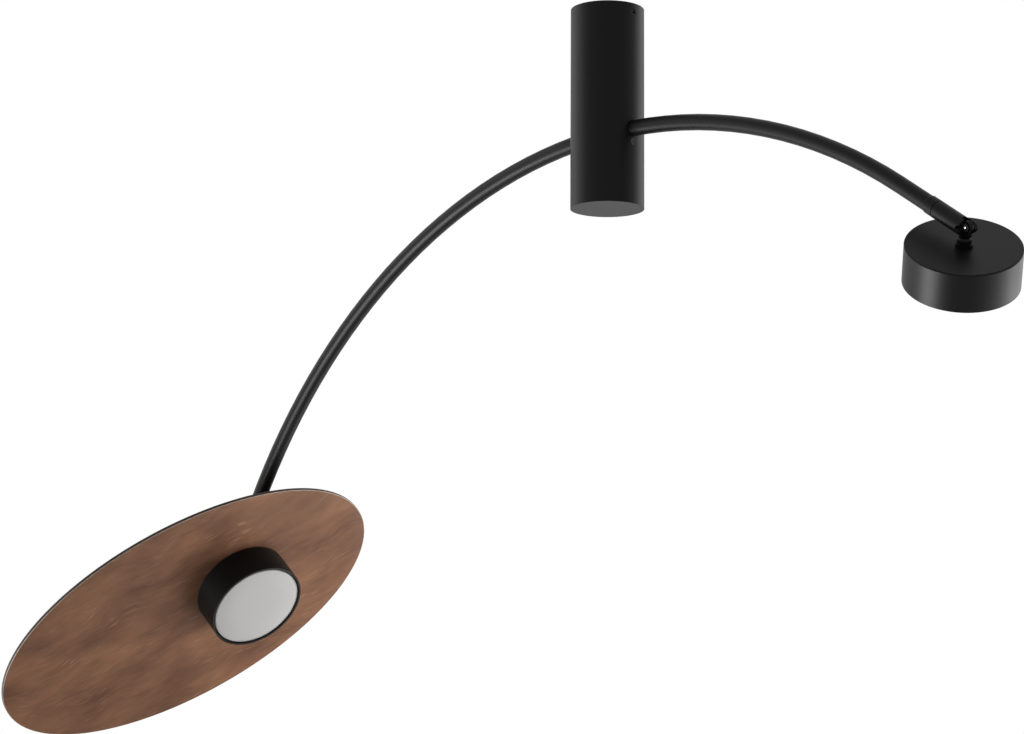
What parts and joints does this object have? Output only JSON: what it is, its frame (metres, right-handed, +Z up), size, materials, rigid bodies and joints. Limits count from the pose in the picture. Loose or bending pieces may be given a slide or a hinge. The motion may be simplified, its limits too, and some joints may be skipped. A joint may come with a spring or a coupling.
{
  "type": "ceiling light",
  "caption": "Arched tube ceiling light: round canopy, a swivelling disc spot head on each arm and an oval wooden plate behind one head.",
  "frame": {"origin": "centre of the ceiling bracket's upper face, on the canopy axis, in the ceiling plane", "axes": "+Z up into the ceiling, +X along the arch towards the short arm, +Y to the left of +X seen from above"},
  "size_m": [0.9019, 0.284, 0.5249],
  "materials": {
    "black_paint": "satin black powder coat",
    "black_screw": "black oxide",
    "zinc_steel": "zinc plated",
    "brass": "bare",
    "white_plastic": "matte white",
    "frosted_cover": "frosted",
    "stained_wood": "stained, satin lacquer",
    "lead_sheath": "matte",
    "nylon": "matte"
  },
  "bodies": {
    "fixture": {"ceiling_bracket": "zinc_steel", "canopy_shell": "black_paint", "canopy_set_screws": "black_screw", "earth_screw": "brass", "terminal_block": "white_plastic", "terminal_screws": "brass", "feed_leads": "lead_sheath", "arm_tube": "black_paint", "arm_lead": "lead_sheath", "arm_saddle": "zinc_steel", "arm_strap": "zinc_steel", "arm_strap_screws": "zinc_steel", "saddle_screws": "black_screw", "left_collar": "black_paint", "right_collar": "black_paint"},
    "left_sleeve_body": {"left_sleeve": "black_paint", "left_swivel_screw": "black_screw", "left_pivot_screw": "black_screw", "left_friction_washer": "nylon"},
    "left_head": {"left_knuckle": "black_paint", "left_head_shell": "black_paint", "left_head_nut": "zinc_steel", "left_lamp_holder": "white_plastic", "left_holder_screws": "zinc_steel"},
    "left_lamp": {"left_lamp_body": "white_plastic", "left_lamp_cover": "frosted_cover", "left_lamp_pins": "brass"},
    "right_sleeve_body": {"right_sleeve": "black_paint", "right_swivel_screw": "black_screw", "right_pivot_screw": "black_screw", "right_friction_washer": "nylon"},
    "right_head": {"right_knuckle": "black_paint", "right_head_shell": "black_paint", "right_head_nut": "zinc_steel", "right_lamp_holder": "white_plastic", "right_holder_screws": "zinc_steel"},
    "right_lamp": {"right_lamp_body": "white_plastic", "right_lamp_cover": "frosted_cover", "right_lamp_pins": "brass"},
    "plate": {"wood_plate": "stained_wood"}
  },
  "joints": [
    {"name": "left_swivel", "type": "hinge", "parent": "fixture", "child": "left_sleeve_body", "pos_m": [-0.42189, 0, -0.36612], "axis": [-0.4924, 0, -0.8704], "range_deg": [-165, 165]},
    {"name": "left_tilt", "type": "hinge", "parent": "left_sleeve_body", "child": "left_head", "pos_m": [-0.43587, 0, -0.39083], "axis": [0, -1, 0], "range_deg": [-160, 6]},
    {"name": "left_lamp_lock", "type": "hinge", "parent": "left_head", "child": "left_lamp", "pos_m": [-0.40248, 0, -0.42144], "axis": [0.7373, 0, -0.6756], "range_deg": [0, 15]},
    {"name": "plate_turn", "type": "hinge", "parent": "left_head", "child": "plate", "pos_m": [-0.42577, 0, -0.40009], "axis": [0.7373, 0, -0.6756], "continuous": true},
    {"name": "right_swivel", "type": "hinge", "parent": "fixture", "child": "right_sleeve_body", "pos_m": [0.31173, 0, -0.20263], "axis": [0.8211, 0, -0.5707], "range_deg": [-165, 165]},
    {"name": "right_tilt", "type": "hinge", "parent": "right_sleeve_body", "child": "right_head", "pos_m": [0.33505, 0, -0.21884], "axis": [0.2671, 0.8838, 0.3842], "range_deg": [-177.7, 2.3]},
    {"name": "right_lamp_lock", "type": "hinge", "parent": "right_head", "child": "right_lamp", "pos_m": [0.31522, 0.01968, -0.25033], "axis": [-0.471, 0.4676, -0.748], "range_deg": [0, 15]}
  ]
}
